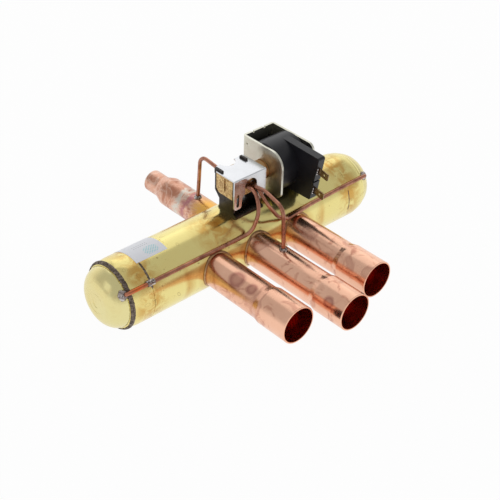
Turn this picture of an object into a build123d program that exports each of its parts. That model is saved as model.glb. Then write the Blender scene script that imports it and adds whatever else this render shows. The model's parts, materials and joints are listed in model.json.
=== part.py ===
"""Four way reversing valve for a heat pump: brass body with welded end caps, copper line tubes,
pilot valve with its capillaries, solenoid coil, and the pistons and slide inside.

Units are millimetres. +X runs along the valve body, -Y along the three parallel tubes and +Z up.
The origin is under the middle of the valve's footprint, on the surface that it lies on.
"""

import os
from math import acos, atan2, cos, degrees, hypot, radians, sin

from build123d import *

# ---- Driving dimensions -------------------------------------------------------------------------
BODY_RADIUS = 28.2  # main brass tube
BODY_BORE = 26.2
TUBE_END = 105.3  # where the main tube meets an end sleeve, either side of the middle
STOP_AT = 112.0  # shoulder that a piston stops against
SLEEVE_BORE = 22.0
WELD_AT = 125.0  # seam between an end sleeve and its cap
WELD_ROOT = 24.0
CAP_FACE = 139.4
CAP_FLAT = 10.6  # radius of the cap's flat face
CAP_CORNER = 15.0  # radius of the round between that face and the weld

PORT_PITCH = 42.6  # between neighbouring tubes, and the stroke of the main slide
PORT_RADIUS = 10.5  # port through the valve seat
TUBE_RADIUS, TUBE_BORE = 14.3, 13.0  # 1 1/8 in line tube
SOCKET_RADIUS, SOCKET_BORE = 15.6, 14.35
SOCKET_DEPTH = 30.0
SOCKET_CONE = 5.0
OUTER_REACH = 117.0  # body axis to the mouth of the two outer tubes
SUCTION_REACH = 133.6  # body axis to the mouth of the middle tube
TUBE_ROOT = 19.0  # body axis to where a line tube seats in the valve seat
SEAT_FACE = 13.0  # body axis to the flat face that the slide runs on
SEAT_HALF_LENGTH = 59.0

DISCHARGE_RADIUS, DISCHARGE_BORE = 12.8, 11.5
STUB_RADIUS, STUB_BORE = 9.53, 8.3  # 3/4 in stub
STUB_LENGTH = 14.5
STUB_CONE = 8.8
DISCHARGE_REACH = 107.5
DISCHARGE_ROOT = 22.5

CAPILLARY_RADIUS, CAPILLARY_BORE = 1.6, 0.8

PILOT_Y, PILOT_Z = 2.0, 50.0  # pilot and solenoid axis, from the body axis
PILOT_PORTS = (1.5, 5.5, 9.5)  # left end, suction, right end
PILOT_STROKE = 4.0
BLOCK_LEFT, BLOCK_RIGHT = -11.0, 22.0
BLOCK_FRONT, BLOCK_BACK = -7.5, 11.5
BLOCK_BOTTOM, BLOCK_TOP = 41.0, 58.8
CHAMBER_RADIUS = 6.0
CORE_TUBE_RADIUS = 6.5

FRAME_LEFT, FRAME_RIGHT = 30.0, 64.0
FRAME_SHEET = 2.0
COIL_RADIUS = 21.6

# The origin lies under the footprint's middle, so the body axis stands behind it and above it.
AXIS_Y = (SUCTION_REACH - DISCHARGE_REACH) / 2
AXIS_Z = BODY_RADIUS

SLIDE_REST = -PORT_PITCH / 2  # at rest the slide joins the suction tube to the left tube
SIDES = (("left", -1), ("right", 1))
LINE_TUBES = {"evaporator_tube": -PORT_PITCH, "suction_tube": 0.0, "condenser_tube": PORT_PITCH}


def at(x, y, z):
    """A point given from the middle of the body axis."""
    return Vector(x, AXIS_Y + y, AXIS_Z + z)


def across(x, y=0.0, z=0.0):
    """Plane across the body, with local x along +Y and local y along +Z."""
    return Plane(origin=at(x, y, z), x_dir=(0, 1, 0), z_dir=(1, 0, 0))


def pilot_across(x):
    """Plane across the pilot axis, with local x along +Y and local y along +Z."""
    return across(x, PILOT_Y, PILOT_Z)


def facing_front(x, y, z=0.0):
    """Plane that faces -Y, with local x along +X and local y along +Z."""
    return Plane(origin=at(x, y, z), x_dir=(1, 0, 0), z_dir=(0, -1, 0))


def lying(x, y, z):
    """Plane that faces up, with local x along +X and local y along +Y."""
    return Plane(origin=at(x, y, z))


BODY_AXIS = Axis(at(0, 0, 0), (1, 0, 0))
made = {}


def keep(builder, name):
    """Labels a finished piece and holds it for the export at the end."""
    builder.part.label = name
    made[name] = builder.part


# ---- Capillary tubes ----------------------------------------------------------------------------
RUN_Y, RUN_Z = -24.6, 17.2  # where a capillary lies along the body
SEAT_Y = BLOCK_FRONT + 2.0  # how deep a capillary goes into the pilot body
ENTRY_X = 128.4
ENTRY_Y, ENTRY_Z = -18.1, 12.65  # its end inside the cap

CAPILLARY_ROUTES = {
    "capillary_left": (
        [
            (PILOT_PORTS[0], SEAT_Y, 50.5),
            (2.2, -19.0, 50.2),
            (-0.6, -29.0, 38.5),
            (-7.0, -26.6, 19.4),
            (-20.0, RUN_Y, RUN_Z),
            (-ENTRY_X, RUN_Y, RUN_Z),
            (-ENTRY_X, ENTRY_Y, ENTRY_Z),
        ],
        (11.0, 22.0, 10.0, 20.0, 3.6),
    ),
    "capillary_suction": (
        [
            (PILOT_PORTS[1], SEAT_Y, 50.6),
            (5.4, -14.0, 51.4),
            (3.6, -29.0, 54.6),
            (-2.2, -55.6, 54.2),
            (0.5, -55.2, TUBE_RADIUS - 1.2),
        ],
        (12.0, 26.0, 8.0),
    ),
    "capillary_right": (
        [
            (PILOT_PORTS[2], SEAT_Y, 50.0),
            (9.2, -14.5, 48.4),
            (10.2, -25.6, 37.6),
            (16.8, -30.6, 26.2),
            (29.0, -29.2, 17.4),
            (62.0, -25.1, 16.7),
            (104.0, RUN_Y, RUN_Z),
            (ENTRY_X, RUN_Y, RUN_Z),
            (ENTRY_X, ENTRY_Y, ENTRY_Z),
        ],
        (10.0, 10.0, 10.0, 12.0, 60.0, 60.0, 3.6),
    ),
    "capillary_discharge": (
        [
            (0.0, 47.2, DISCHARGE_RADIUS - 1.2),
            (-0.5, 45.0, 32.0),
            (-1.6, 42.2, 56.4),
            (-2.4, 22.0, 54.9),
            (-2.4, BLOCK_BACK - 2.0, 54.5),
        ],
        (60.0, 9.0, 60.0),
    ),
}


def bent_rod(points, bends, radius):
    """Solid rod along straight runs joined by tangent arcs."""
    with BuildPart() as rod:
        with BuildLine() as path:
            FilletPolyline(*points, radius=bends)
        with BuildSketch(path.line ^ 0):
            Circle(radius)
        sweep(path=path.line)
    return rod.part


rods, bores = {}, {}
for name, (route, bends) in CAPILLARY_ROUTES.items():
    points = [at(*p) for p in route]
    rods[name] = bent_rod(points, bends, CAPILLARY_RADIUS)
    bores[name] = bent_rod(points, bends, CAPILLARY_BORE)
    with BuildPart() as capillary:
        add(rods[name])
        add(bores[name], mode=Mode.SUBTRACT)
    keep(capillary, name)


# ---- Main body ----------------------------------------------------------------------------------
with BuildPart() as body_tube:
    with BuildSketch(across(-TUBE_END)):
        Circle(BODY_RADIUS)
        Circle(BODY_BORE, mode=Mode.SUBTRACT)
    extrude(amount=2 * TUBE_END)
    for tube_x in LINE_TUBES.values():
        with BuildSketch(facing_front(tube_x, 0)):
            Circle(TUBE_RADIUS)
        extrude(amount=2 * BODY_RADIUS, mode=Mode.SUBTRACT)
    with BuildSketch(facing_front(0, 0)):
        Circle(DISCHARGE_RADIUS)
    extrude(amount=-2 * BODY_RADIUS, mode=Mode.SUBTRACT)
keep(body_tube, "body_tube")

SLEEVE_TIP = (WELD_AT - 1.9, 27.05)
CORNER_CENTRE = (CAP_FACE - CAP_CORNER, CAP_FLAT)
TIP_ANGLE = degrees(acos((WELD_AT + 2.0 - CORNER_CENTRE[0]) / CAP_CORNER))
CAP_TIP = (WELD_AT + 2.0, CAP_FLAT + CAP_CORNER * sin(radians(TIP_ANGLE)))
BEAD_CROWNS = {"left": 27.6, "right": 26.6}  # the right weld is dressed nearly flush
SPIGOT_AT = 119.0
CAP_HOLLOW = 19.0
CAP_FLOOR = 135.0

for side, sign in SIDES:
    facing_out = Plane(origin=at(0, 0, 0), x_dir=(sign, 0, 0), z_dir=(0, 0, sign))

    with BuildPart() as sleeve:
        with BuildSketch(facing_out):
            with BuildLine():
                straight = Polyline(
                    (TUBE_END, BODY_BORE), (TUBE_END, 27.8), (TUBE_END + 0.4, BODY_RADIUS), (115.5, BODY_RADIUS)
                )
                taper = ThreePointArc(straight @ 1, (119.5, 27.9), SLEEVE_TIP)
                Polyline(
                    taper @ 1,
                    (WELD_AT, WELD_ROOT),
                    (WELD_AT, SLEEVE_BORE),
                    (STOP_AT, SLEEVE_BORE),
                    (STOP_AT, BODY_BORE),
                    straight @ 0,
                )
            make_face()
        revolve(axis=BODY_AXIS)
        add(rods[f"capillary_{side}"], mode=Mode.SUBTRACT)
    keep(sleeve, f"end_sleeve_{side}")

    with BuildPart() as cap:
        with BuildSketch(facing_out):
            with BuildLine():
                corner = CenterArc(CORNER_CENTRE, CAP_CORNER, 0, TIP_ANGLE)
                Polyline(
                    corner @ 0,
                    (CAP_FACE, 9.2),
                    (CAP_FACE - 0.15, 9.0),
                    (CAP_FACE - 0.15, 8.2),
                    (CAP_FACE, 8.0),
                    (CAP_FACE, 4.4),
                    (CAP_FACE - 0.3, 4.0),
                    (CAP_FACE - 0.3, 0),
                    (CAP_FLOOR, 0),
                    (CAP_FLOOR, CAP_HOLLOW - 1.5),
                    (CAP_FLOOR - 1.5, CAP_HOLLOW),
                    (SPIGOT_AT, CAP_HOLLOW),
                    (SPIGOT_AT, SLEEVE_BORE),
                    (WELD_AT, SLEEVE_BORE),
                    (WELD_AT, WELD_ROOT),
                    corner @ 1,
                )
            make_face()
        revolve(axis=BODY_AXIS)
        add(rods[f"capillary_{side}"], mode=Mode.SUBTRACT)
        inward = (0, -ENTRY_Y / hypot(ENTRY_Y, ENTRY_Z), -ENTRY_Z / hypot(ENTRY_Y, ENTRY_Z))
        with BuildSketch(Plane(origin=at(sign * ENTRY_X, ENTRY_Y, ENTRY_Z), z_dir=inward)):
            Circle(CAPILLARY_BORE)
        extrude(amount=hypot(ENTRY_Y, ENTRY_Z) - CAP_HOLLOW + 1, mode=Mode.SUBTRACT)
    keep(cap, f"end_cap_{side}")

    with BuildPart() as bead:
        with BuildSketch(facing_out):
            with BuildLine():
                crown = ThreePointArc(SLEEVE_TIP, (WELD_AT + 0.2, BEAD_CROWNS[side]), CAP_TIP)
                Polyline(crown @ 1, (WELD_AT, WELD_ROOT), crown @ 0)
            make_face()
        revolve(axis=BODY_AXIS)
        add(rods[f"capillary_{side}"], mode=Mode.SUBTRACT)
    keep(bead, f"weld_bead_{side}")

with BuildPart() as seat:
    with BuildSketch(across(-SEAT_HALF_LENGTH)):
        Circle(BODY_BORE)
        with Locations((BODY_BORE - SEAT_FACE, 0)):
            Rectangle(2 * BODY_BORE, 2 * BODY_BORE, mode=Mode.SUBTRACT)
    extrude(amount=2 * SEAT_HALF_LENGTH)
    for tube_x in LINE_TUBES.values():
        with BuildSketch(facing_front(tube_x, 0)):
            Circle(PORT_RADIUS)
        extrude(amount=BODY_RADIUS, mode=Mode.SUBTRACT)
        with BuildSketch(facing_front(tube_x, -TUBE_ROOT)):
            Circle(TUBE_RADIUS)
        extrude(amount=BODY_RADIUS, mode=Mode.SUBTRACT)
keep(seat, "valve_seat")


# ---- Line tubes ---------------------------------------------------------------------------------
def turned_along_y(x, profile):
    """Solid of revolution about a line along Y, from (radius, y) points."""
    with BuildPart() as turned:
        with BuildSketch(lying(x, 0, 0)):
            with BuildLine():
                Polyline(*profile, close=True)
            make_face()
        revolve(axis=Axis(at(x, 0, 0), (0, 1, 0)))
    return turned.part


for name, tube_x in LINE_TUBES.items():
    mouth = -(SUCTION_REACH if name == "suction_tube" else OUTER_REACH)
    socket = mouth + SOCKET_DEPTH
    cone = socket + SOCKET_CONE
    with BuildPart() as tube:
        add(
            turned_along_y(
                tube_x,
                [
                    (TUBE_BORE, -TUBE_ROOT),
                    (TUBE_RADIUS, -TUBE_ROOT),
                    (TUBE_RADIUS, cone),
                    (SOCKET_RADIUS, socket),
                    (SOCKET_RADIUS, mouth),
                    (SOCKET_BORE, mouth),
                    (SOCKET_BORE, socket),
                    (TUBE_BORE, cone),
                ],
            )
        )
        rounds = tube.edges().filter_by(GeomType.CIRCLE)
        low, high = AXIS_Y + socket - 1, AXIS_Y + cone + 1
        inner_cone, outer_cone, _, outer_socket = rounds.filter_by_position(
            Axis.Y, low, high
        ).sort_by(SortBy.RADIUS)
        fillet([inner_cone, outer_cone, outer_socket], 4.0)
        rim = tube.edges().filter_by(GeomType.CIRCLE).group_by(Axis.Y)[0]
        fillet(rim.sort_by(SortBy.RADIUS)[-1], 0.5)
        if name == "suction_tube":
            add(rods["capillary_suction"], mode=Mode.SUBTRACT)
    keep(tube, name)

with BuildPart() as discharge:
    stub = DISCHARGE_REACH - STUB_LENGTH
    cone = stub - STUB_CONE
    add(
        turned_along_y(
            0,
            [
                (DISCHARGE_BORE, DISCHARGE_ROOT),
                (DISCHARGE_RADIUS, DISCHARGE_ROOT),
                (DISCHARGE_RADIUS, cone),
                (STUB_RADIUS, stub),
                (STUB_RADIUS, DISCHARGE_REACH),
                (STUB_BORE, DISCHARGE_REACH),
                (STUB_BORE, stub),
                (DISCHARGE_BORE, cone),
            ],
        )
    )
    bends = discharge.edges().filter_by(GeomType.CIRCLE)
    bends = bends.filter_by_position(Axis.Y, AXIS_Y + cone - 1, AXIS_Y + stub + 1)
    fillet([bend for bend in bends if abs(bend.radius - STUB_RADIUS) > 0.1], 5.0)
    add(rods["capillary_discharge"], mode=Mode.SUBTRACT)
keep(discharge, "discharge_tube")


# ---- Brazed joints ------------------------------------------------------------------------------
BRAZE_LEG = 1.2  # how far the braze spreads along the body and up the tube
OPENINGS = [(x, TUBE_RADIUS, 1) for x in LINE_TUBES.values()] + [(0.0, DISCHARGE_RADIUS, -1)]


def tube_outsides(reach, wider=0.0):
    """The four tubes' outsides as rods that start at the body axis."""
    with BuildPart() as outsides:
        for tube_x, radius, way in OPENINGS:
            with BuildSketch(facing_front(tube_x, 0)):
                Circle(radius + wider)
            extrude(amount=way * reach)
    return outsides.part


def body_rod(wider=0.0):
    """The body tube's outside as a rod."""
    with BuildPart() as outside:
        with BuildSketch(across(-TUBE_END)):
            Circle(BODY_RADIUS + wider)
        extrude(amount=2 * TUBE_END)
    return outside.part


body_outside = body_rod()

with BuildPart() as saddles:
    add(tube_outsides(BODY_RADIUS + 10, BRAZE_LEG))
    add(body_rod(BRAZE_LEG), mode=Mode.INTERSECT)
    lips = [e for e in saddles.edges() if e.geom_type not in (GeomType.LINE, GeomType.CIRCLE)]
    chamfer(lips, BRAZE_LEG * 0.55)
    add(body_outside, mode=Mode.SUBTRACT)
    add(tube_outsides(BODY_RADIUS + 12), mode=Mode.SUBTRACT)
keep(saddles, "line_braze_rings")


def braze_cone(foot, way, radius, rise):
    """Cone of braze round the foot of a capillary."""
    with BuildPart() as collar:
        with BuildSketch(Plane(origin=foot, z_dir=way)):
            Circle(radius)
        extrude(amount=rise, taper=35)
    return collar.part


OUTWARD_Y, OUTWARD_Z = ENTRY_Y / hypot(ENTRY_Y, ENTRY_Z), ENTRY_Z / hypot(ENTRY_Y, ENTRY_Z)
SOLDER_FOOT = 24.3  # just under the cap's surface, from the body axis
TACK_FROM, TACK_TO = -110.0, -103.0

with BuildPart() as tube_feet:
    add(braze_cone(at(0.5, -55.2, TUBE_RADIUS - 0.7), (0, 0, 1), 3.6, 2.6))
    add(braze_cone(at(0.0, 47.2, DISCHARGE_RADIUS - 0.7), (0, 0, 1), 3.6, 2.6))
    for sign in (-1, 1):
        foot = at(sign * (ENTRY_X + 0.3), SOLDER_FOOT * OUTWARD_Y, SOLDER_FOOT * OUTWARD_Z)
        add(braze_cone(foot, (0, OUTWARD_Y, OUTWARD_Z), 4.0, 3.2))
    for port_x, port_z in zip(PILOT_PORTS, (50.5, 50.6, 50.0)):
        add(braze_cone(at(port_x, BLOCK_FRONT, port_z), (0, -1, 0), 1.95, 0.4))
    with BuildSketch(across(TACK_FROM, RUN_Y * 0.985, RUN_Z * 0.985)):
        Circle(2.1)
    extrude(amount=TACK_TO - TACK_FROM)
    for rod in rods.values():
        add(rod, mode=Mode.SUBTRACT)
    add(tube_outsides(90), mode=Mode.SUBTRACT)
    add(body_outside, mode=Mode.SUBTRACT)
    for side, sign in SIDES:
        for solid in ("end_sleeve", "weld_bead", "end_cap"):
            add(made[f"{solid}_{side}"], mode=Mode.SUBTRACT)
keep(tube_feet, "capillary_braze")


# ---- Pilot valve --------------------------------------------------------------------------------
CHAMBER_END = -6.0
CORE_TUBE_START = 14.0
PILOT_SEAT_FACE = -3.2  # from the pilot axis

with BuildPart() as pilot_body:
    with BuildSketch(across(BLOCK_LEFT)):
        with Locations(((BLOCK_BACK + BLOCK_FRONT) / 2, (BLOCK_TOP + BLOCK_BOTTOM) / 2)):
            Rectangle(BLOCK_BACK - BLOCK_FRONT, BLOCK_TOP - BLOCK_BOTTOM)
    extrude(amount=BLOCK_RIGHT - BLOCK_LEFT)
    lengthwise = pilot_body.edges().filter_by(Axis.X)
    fillet(lengthwise.group_by(Axis.Z)[0].sort_by(Axis.Y)[-1], 5.0)
    with BuildSketch(across(BLOCK_LEFT, 1.4, 51.2)):
        SlotOverall(11.6, 1.6, rotation=90)
    extrude(amount=1.2, mode=Mode.SUBTRACT)
    with BuildSketch(pilot_across(CHAMBER_END)):
        Circle(CHAMBER_RADIUS)
    extrude(amount=BLOCK_RIGHT - CHAMBER_END, mode=Mode.SUBTRACT)
    with BuildSketch(pilot_across(CORE_TUBE_START)):
        Circle(CORE_TUBE_RADIUS)
    extrude(amount=BLOCK_RIGHT - CORE_TUBE_START, mode=Mode.SUBTRACT)
    for port_x in PILOT_PORTS:
        with BuildSketch(facing_front(port_x, PILOT_Y, 50.4)):
            Circle(CAPILLARY_BORE)
        extrude(amount=PILOT_Y - SEAT_Y + 0.5, mode=Mode.SUBTRACT)
    with BuildSketch(facing_front(-2.4, PILOT_Y, 54.5)):
        Circle(CAPILLARY_BORE)
    extrude(amount=-(BLOCK_BACK - 1.5 - PILOT_Y), mode=Mode.SUBTRACT)
    for rod in rods.values():
        add(rod, mode=Mode.SUBTRACT)
keep(pilot_body, "pilot_body")

with BuildPart() as pilot_seat:
    with BuildSketch(pilot_across(-2.5)):
        Circle(CHAMBER_RADIUS)
        with Locations((CHAMBER_RADIUS + PILOT_SEAT_FACE, 0)):
            Rectangle(2 * CHAMBER_RADIUS, 2 * CHAMBER_RADIUS, mode=Mode.SUBTRACT)
    extrude(amount=CORE_TUBE_START + 2.5)
    for port_x in PILOT_PORTS:
        with BuildSketch(facing_front(port_x, PILOT_Y, 50.4)):
            Circle(CAPILLARY_BORE)
        extrude(amount=BODY_RADIUS, mode=Mode.SUBTRACT)
keep(pilot_seat, "pilot_seat")

BRACKET_SHEET = 1.8
WALL_PLACES = (BLOCK_LEFT, 16.2)
HOOKS = ((5.0, 14.0), (7.0, 15.0))  # each hook's reach along Y
HOOK_TOP = 61.8
COVER_SHEET = 1.2
COVER_TOP = BLOCK_TOP + COVER_SHEET
WALL_OUTLINE = [
    (-9.0, 24.0),
    (8.0, 24.0),
    (8.0, 36.0),
    (13.3, 42.0),
    (13.3, BLOCK_TOP),
    (-8.5, BLOCK_TOP),
    (-8.5, 37.0),
    (-9.0, 36.0),
]

with BuildPart() as bracket:
    with BuildSketch(across(BLOCK_LEFT)):
        Circle(BODY_RADIUS + BRACKET_SHEET)
        with BuildLine():
            Polyline((-12.5, 20.0), (9.0, 20.0), (9.0, 35.0), (-12.5, 35.0), close=True)
        make_face(mode=Mode.INTERSECT)
    extrude(amount=WALL_PLACES[1] + BRACKET_SHEET - BLOCK_LEFT)
    for wall_x in WALL_PLACES:
        with BuildSketch(across(wall_x)):
            with BuildLine():
                Polyline(*WALL_OUTLINE, close=True)
            make_face()
        extrude(amount=BRACKET_SHEET)
    for wall_x, (hook_from, hook_to) in zip(WALL_PLACES, HOOKS):
        with BuildSketch(across(wall_x)):
            with Locations(((hook_to + BLOCK_BACK) / 2, (HOOK_TOP + BLOCK_TOP) / 2 - 1)):
                Rectangle(hook_to - BLOCK_BACK, HOOK_TOP - BLOCK_TOP + 2)
            with Locations(((hook_from + hook_to) / 2, (HOOK_TOP + COVER_TOP) / 2)):
                Rectangle(hook_to - hook_from, HOOK_TOP - COVER_TOP)
        extrude(amount=BRACKET_SHEET)
    hook_ends = bracket.edges().filter_by(Axis.X).group_by(Axis.Z)[-1]
    fillet(hook_ends, 0.9)
    add(body_outside, mode=Mode.SUBTRACT)
    with BuildSketch(across(BLOCK_LEFT)):
        with Locations(((BLOCK_BACK + BLOCK_FRONT) / 2, (BLOCK_TOP + BLOCK_BOTTOM) / 2)):
            Rectangle(BLOCK_BACK - BLOCK_FRONT, BLOCK_TOP - BLOCK_BOTTOM)
    extrude(amount=BLOCK_RIGHT - BLOCK_LEFT, mode=Mode.SUBTRACT)
    add(pilot_body.part)
    add(pilot_body.part, mode=Mode.SUBTRACT)
keep(bracket, "pilot_bracket")

COVER_LEFT, COVER_RIGHT = -12.0, 21.5
COVER_FRONT, COVER_BACK = -11.0, 16.3
LEG_FOOT = 33.0
APRON = 42.4  # lower edge of the front flange between its legs

with BuildPart() as cover:
    with BuildSketch(lying(0, 0, BLOCK_TOP)):
        with BuildLine():
            Polyline(
                (COVER_LEFT, COVER_FRONT),
                (COVER_RIGHT, COVER_FRONT),
                (COVER_RIGHT, COVER_BACK),
                (-7.0, COVER_BACK),
                (COVER_LEFT, 10.7),
                close=True,
            )
        make_face()
        with Locations((4.2, COVER_BACK + 0.4)):
            Circle(7.2, mode=Mode.SUBTRACT)
        for wall_x, (hook_from, hook_to) in zip(WALL_PLACES, HOOKS):
            with Locations((wall_x + BRACKET_SHEET / 2, (BLOCK_BACK + hook_to) / 2)):
                Rectangle(BRACKET_SHEET + 0.3, hook_to - BLOCK_BACK + 0.3, mode=Mode.SUBTRACT)
    extrude(amount=COVER_SHEET)
    with BuildSketch(facing_front(0, COVER_FRONT + COVER_SHEET)):
        with BuildLine():
            Polyline(
                (COVER_LEFT, COVER_TOP),
                (COVER_LEFT, LEG_FOOT),
                (-4.4, LEG_FOOT),
                (-3.5, APRON),
                (-0.8, APRON + 2.6),
                (11.8, APRON + 2.6),
                (13.0, APRON),
                (13.4, LEG_FOOT + 0.6),
                (19.2, LEG_FOOT + 0.6),
                (COVER_RIGHT, APRON),
                (COVER_RIGHT, COVER_TOP),
                close=True,
            )
        make_face()
        with Locations((PILOT_PORTS[1], PILOT_Z + 0.5)):
            Circle(6.3, mode=Mode.SUBTRACT)
        with Locations((PILOT_PORTS[1], PILOT_Z - 3.5)):
            Rectangle(12.6, 8.0, mode=Mode.SUBTRACT)
        with Locations((-8.2, 40.8)):
            SlotOverall(11.7, 2.6, rotation=90, mode=Mode.SUBTRACT)
    extrude(amount=COVER_SHEET)
    fold = cover.edges().filter_by(Axis.X).group_by(Axis.Z)[-1].sort_by(Axis.Y)[0]
    fillet(fold, 1.1)
    feet = cover.edges().filter_by(Axis.Y).group_by(Axis.Z)[0]
    fillet(feet, 2.4)
keep(cover, "pilot_cover")


# ---- Solenoid -----------------------------------------------------------------------------------
PLUNGER_LEFT, PLUNGER_RIGHT = 24.0, 40.5
PLUNGER_RADIUS = 5.85
POCKET_DEPTH = 9.0
CORE_FACE = PLUNGER_RIGHT + PILOT_STROKE + 0.2
CORE_END = FRAME_RIGHT - FRAME_SHEET - 0.2
CORE_TUBE_BORE = 6.0
SCREW_RADIUS = 2.5
COLLAR_RADIUS = 8.4
GROOVE_AT = 27.6

with BuildPart() as collar:
    with BuildSketch(pilot_across(BLOCK_RIGHT)):
        Circle(COLLAR_RADIUS)
        Circle(CORE_TUBE_RADIUS, mode=Mode.SUBTRACT)
    extrude(amount=FRAME_LEFT - 0.2 - BLOCK_RIGHT)
    chamfer(collar.edges().group_by(Axis.X)[-1].sort_by(SortBy.RADIUS)[-1], 0.6)
    with BuildSketch(pilot_across(GROOVE_AT)):
        Circle(COLLAR_RADIUS)
        Circle(COLLAR_RADIUS - 0.8, mode=Mode.SUBTRACT)
    extrude(amount=1.0, mode=Mode.SUBTRACT)
keep(collar, "stem_collar")

with BuildPart() as core_tube:
    with BuildSketch(pilot_across(CORE_TUBE_START)):
        Circle(CORE_TUBE_RADIUS)
        Circle(CORE_TUBE_BORE, mode=Mode.SUBTRACT)
    extrude(amount=CORE_END - CORE_TUBE_START)
keep(core_tube, "core_tube")

with BuildPart() as fixed_core:
    with BuildSketch(pilot_across(CORE_FACE)):
        Circle(CORE_TUBE_BORE)
    extrude(amount=CORE_END - CORE_FACE)
    with BuildSketch(pilot_across(CORE_END - 8.0)):
        Circle(SCREW_RADIUS)
    extrude(amount=8.0, mode=Mode.SUBTRACT)
keep(fixed_core, "fixed_core")

TONGUE_LEFT = -2.2
TONGUE_FROM, TONGUE_TO = -0.7, 1.7  # the tongue's two faces, from the pilot axis
PILOT_SLIDE_X = (PILOT_PORTS[0] + PILOT_PORTS[1]) / 2
PEG_RADIUS = 1.4

with BuildPart() as plunger:
    with BuildSketch(pilot_across(PLUNGER_LEFT)):
        Circle(PLUNGER_RADIUS)
    extrude(amount=PLUNGER_RIGHT - PLUNGER_LEFT)
    chamfer(plunger.edges().filter_by(GeomType.CIRCLE), 0.5)
    with BuildSketch(pilot_across(PLUNGER_RIGHT - POCKET_DEPTH)):
        Circle(3.3)
    extrude(amount=POCKET_DEPTH, mode=Mode.SUBTRACT)
    with BuildSketch(pilot_across(TONGUE_LEFT)):
        with Locations(((TONGUE_FROM + TONGUE_TO) / 2, 0)):
            Rectangle(TONGUE_TO - TONGUE_FROM, 5.2)
    extrude(amount=PLUNGER_LEFT - TONGUE_LEFT + 1)
    with BuildSketch(facing_front(PILOT_SLIDE_X, PILOT_Y + 4, PILOT_Z)):
        Circle(PEG_RADIUS + 0.05)
    extrude(amount=8, mode=Mode.SUBTRACT)
keep(plunger, "plunger")

with BuildPart() as pilot_slide:
    with BuildSketch(facing_front(PILOT_SLIDE_X, PILOT_Y + PILOT_SEAT_FACE + 0.02, PILOT_Z)):
        SlotOverall(9.2, 5.0)
    extrude(amount=-(TONGUE_FROM - 0.05 - PILOT_SEAT_FACE))
    with BuildSketch(facing_front(PILOT_SLIDE_X, PILOT_Y + PILOT_SEAT_FACE, PILOT_Z)):
        SlotOverall(6.0, 2.4)
    extrude(amount=-1.4, mode=Mode.SUBTRACT)
    with BuildSketch(facing_front(PILOT_SLIDE_X, PILOT_Y + TONGUE_FROM - 0.3, PILOT_Z)):
        Circle(PEG_RADIUS)
    extrude(amount=-2.4)
keep(pilot_slide, "pilot_slide")

SPRING_WIRE = 0.35
SPRING_TURNS = 6
SPRING_LENGTH = CORE_FACE - (PLUNGER_RIGHT - POCKET_DEPTH) - 2 * SPRING_WIRE - 0.1

with BuildPart() as spring:
    spring_from = PLUNGER_RIGHT - POCKET_DEPTH + SPRING_WIRE + 0.05
    spring_foot = at(spring_from, PILOT_Y, PILOT_Z)
    pitch = SPRING_LENGTH / SPRING_TURNS
    with BuildLine() as turns:
        Helix(pitch=pitch, height=SPRING_LENGTH, radius=2.6, center=spring_foot, direction=(1, 0, 0))
    with BuildSketch(turns.line ^ 0):
        Circle(SPRING_WIRE)
    sweep(path=turns.line, is_frenet=True)
keep(spring, "plunger_spring")

FRAME_BOTTOM, FRAME_TOP = 31.5, 70.5
FRAME_BACK = 26.8
ARM_ENDS = (-20.0, -22.0)  # how far each arm comes forward, left and right
ARM_CORNERS = ((13.0, 4.0), (6.0, 4.0))  # upper and lower corner radius of each arm
FRAME_BEND = 3.0

with BuildPart() as frame:
    with BuildSketch(lying(0, 0, FRAME_BOTTOM)) as u_section:
        with BuildLine():
            Polyline(
                (FRAME_LEFT, ARM_ENDS[0]),
                (FRAME_LEFT, FRAME_BACK),
                (FRAME_RIGHT, FRAME_BACK),
                (FRAME_RIGHT, ARM_ENDS[1]),
                (FRAME_RIGHT - FRAME_SHEET, ARM_ENDS[1]),
                (FRAME_RIGHT - FRAME_SHEET, FRAME_BACK - FRAME_SHEET),
                (FRAME_LEFT + FRAME_SHEET, FRAME_BACK - FRAME_SHEET),
                (FRAME_LEFT + FRAME_SHEET, ARM_ENDS[0]),
                close=True,
            )
        make_face()
        by_y = u_section.vertices().group_by(Axis.Y)
        fillet(by_y[-1], FRAME_BEND)
        fillet(u_section.vertices().filter_by_position(Axis.Y, AXIS_Y + 20, AXIS_Y + 25), 1.0)
    extrude(amount=FRAME_TOP - FRAME_BOTTOM)
    for arm, radii in enumerate(ARM_CORNERS):
        for corner, radius in enumerate(radii):
            ends = frame.edges().filter_by(Axis.X).filter_by_position(Axis.Y, AXIS_Y - 30, AXIS_Y - 15)
            arm_ends = ends.group_by(Axis.X)[-1 if arm else 0]
            fillet(arm_ends.sort_by(Axis.Z)[0 if corner else -1], radius)
    with BuildSketch(pilot_across(FRAME_LEFT)):
        Circle(CORE_TUBE_RADIUS + 0.1)
    extrude(amount=FRAME_SHEET, mode=Mode.SUBTRACT)
    with BuildSketch(pilot_across(FRAME_RIGHT - FRAME_SHEET)):
        Circle(SCREW_RADIUS)
    extrude(amount=FRAME_SHEET, mode=Mode.SUBTRACT)
    with BuildSketch(across(FRAME_LEFT, 21.0, 64.6)):
        Circle(0.8)
    extrude(amount=0.8, mode=Mode.SUBTRACT)
    for notch_x in (40.5, 52.7):
        with BuildSketch(facing_front(notch_x, FRAME_BACK + 1, FRAME_TOP)):
            Rectangle(2.0, 2.4)
        extrude(amount=FRAME_SHEET + 2, mode=Mode.SUBTRACT)
keep(frame, "coil_frame")

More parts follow.
